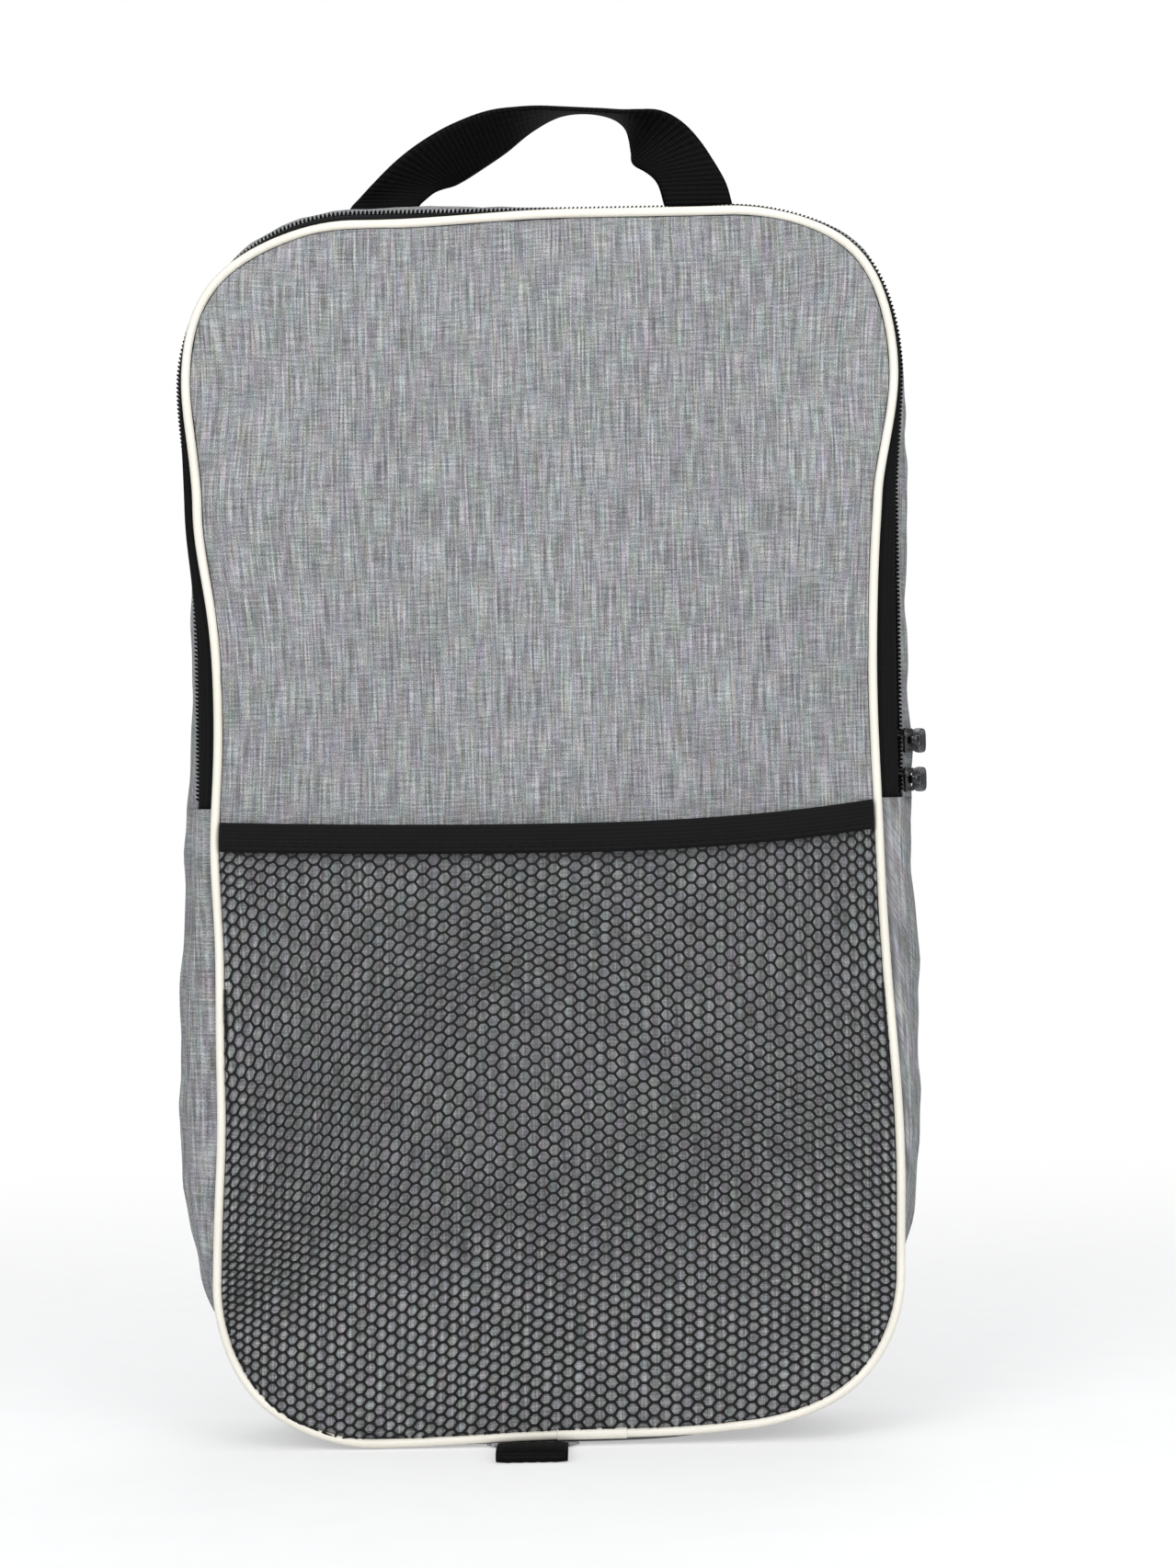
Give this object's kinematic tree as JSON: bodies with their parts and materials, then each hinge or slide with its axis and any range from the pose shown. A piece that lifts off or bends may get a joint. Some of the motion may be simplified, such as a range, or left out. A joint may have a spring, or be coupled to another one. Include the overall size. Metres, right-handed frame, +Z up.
{
  "type": "paddle case",
  "caption": "Upright padded case for sports paddles with a zipped fold-down front, mesh pocket, piping, carrying handle and base tab.",
  "frame": {"origin": "centre of the flat base that the case stands on", "axes": "+Z up the case, +X to the right seen from the front, -Y out of the front panel"},
  "size_m": [0.2678, 0.1062, 0.484],
  "materials": {
    "heather_fabric": "matt woven heather",
    "foam": "closed-cell foam padding",
    "lining": "plain woven lining",
    "binding": "ribbed seam binding",
    "piping": "smooth coated cord piping",
    "zip_tape": "herringbone woven tape",
    "zip_coil": "nylon coil",
    "black_metal": "black painted die-cast metal",
    "moulded_puller": "moulded soft plastic",
    "mesh": "open knitted mesh",
    "elastic": "ribbed elastic band",
    "webbing": "ribbed webbing"
  },
  "bodies": {
    "root": {"front_lower_fabric": "heather_fabric", "front_lower_foam": "foam", "front_lower_lining": "lining", "back_fabric": "heather_fabric", "back_foam": "foam", "back_lining": "lining", "gusset_upper_fabric": "heather_fabric", "gusset_upper_lining": "lining", "gusset_lower_fabric": "heather_fabric", "gusset_lower_lining": "lining", "piping_lower": "piping", "piping_splice": "piping", "seam_binding_lower": "binding", "seam_binding_back": "binding", "zip_tape_rear": "zip_tape", "zip_coil_rear": "zip_coil", "zip_stop_right": "black_metal", "zip_stop_left": "black_metal", "mesh_pocket": "mesh", "pocket_band": "elastic", "handle_feet": "webbing", "tab_patch": "heather_fabric"},
    "flap": {"front_upper_fabric": "heather_fabric", "front_upper_foam": "foam", "front_upper_lining": "lining", "piping_upper": "piping", "seam_binding_upper": "binding", "zip_tape_front": "zip_tape", "zip_coil_front": "zip_coil"},
    "slider_a": {"slider_a_body": "black_metal"},
    "puller_a": {"puller_a_link": "black_metal", "puller_a_tab": "moulded_puller"},
    "slider_b": {"slider_b_body": "black_metal"},
    "puller_b": {"puller_b_link": "black_metal", "puller_b_tab": "moulded_puller"},
    "handle": {"handle_strap": "webbing"},
    "tab": {"tab_loop": "webbing"}
  },
  "joints": [
    {"name": "flap_open", "type": "hinge", "parent": "root", "child": "flap", "pos_m": [0, -0.0413, 0.228], "axis": [1, 0, 0], "range_deg": [0, 100]},
    {"name": "slider_a_slide", "type": "slide", "parent": "root", "child": "slider_a", "axis": [0, 0, 1], "range_m": [0, 0.078]},
    {"name": "puller_a_swing", "type": "hinge", "parent": "slider_a", "child": "puller_a", "pos_m": [0.13019, -0.024, 0.2483], "axis": [0, 0, -1], "range_deg": [0, 138]},
    {"name": "slider_b_slide", "type": "slide", "parent": "root", "child": "slider_b", "axis": [0, 0, 1], "range_m": [0, 0.004]},
    {"name": "puller_b_swing", "type": "hinge", "parent": "slider_b", "child": "puller_b", "pos_m": [0.13019, -0.024, 0.2343], "axis": [0, 0, -1], "range_deg": [0, 138]},
    {"name": "handle_swing", "type": "hinge", "parent": "root", "child": "handle", "pos_m": [0, 0.005, 0.4461], "axis": [1, 0, 0], "range_deg": [-50, 50]},
    {"name": "tab_swing", "type": "hinge", "parent": "root", "child": "tab", "pos_m": [0, -0.0392, 0.0013], "axis": [-1, 0, 0], "range_deg": [0, 60]}
  ]
}
